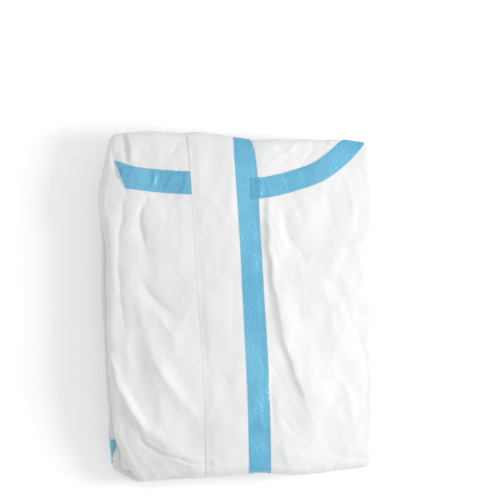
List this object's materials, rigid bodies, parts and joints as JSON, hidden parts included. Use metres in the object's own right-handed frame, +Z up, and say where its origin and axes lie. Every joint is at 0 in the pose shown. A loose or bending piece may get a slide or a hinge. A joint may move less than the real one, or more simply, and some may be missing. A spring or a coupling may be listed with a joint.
{
  "type": "hooded protective coverall",
  "caption": "White hooded protective coverall folded flat into a bundle, chest up, with a storm flap over its closed zip and blue sealing tape on its seams.",
  "frame": {"origin": "on the floor, under the middle of the folded bundle's box", "axes": "+Y from the waist fold to the hood fold, +Z up, +X towards the wearer's left side"},
  "size_m": [0.2497, 0.3108, 0.041],
  "materials": {
    "cloth": "white nonwoven cloth with a thin film on its outer face, soft sheen",
    "cloth_below": "the same white cloth in the folded layers below",
    "seam_tape": "light blue heat-sealed film tape, satin, finely wrinkled",
    "zip": "white woven zip tape with white coil teeth"
  },
  "bodies": {
    "root": {"folded_layers": "cloth_below", "front_right": "cloth", "front_left": "cloth", "hood_right": "cloth", "hood_left": "cloth", "storm_flap": "cloth", "zip_tapes": "zip", "centre_tape": "seam_tape", "neck_tape_right": "seam_tape", "neck_tape_left": "seam_tape", "leg_tape": "seam_tape"}
  },
  "joints": []
}
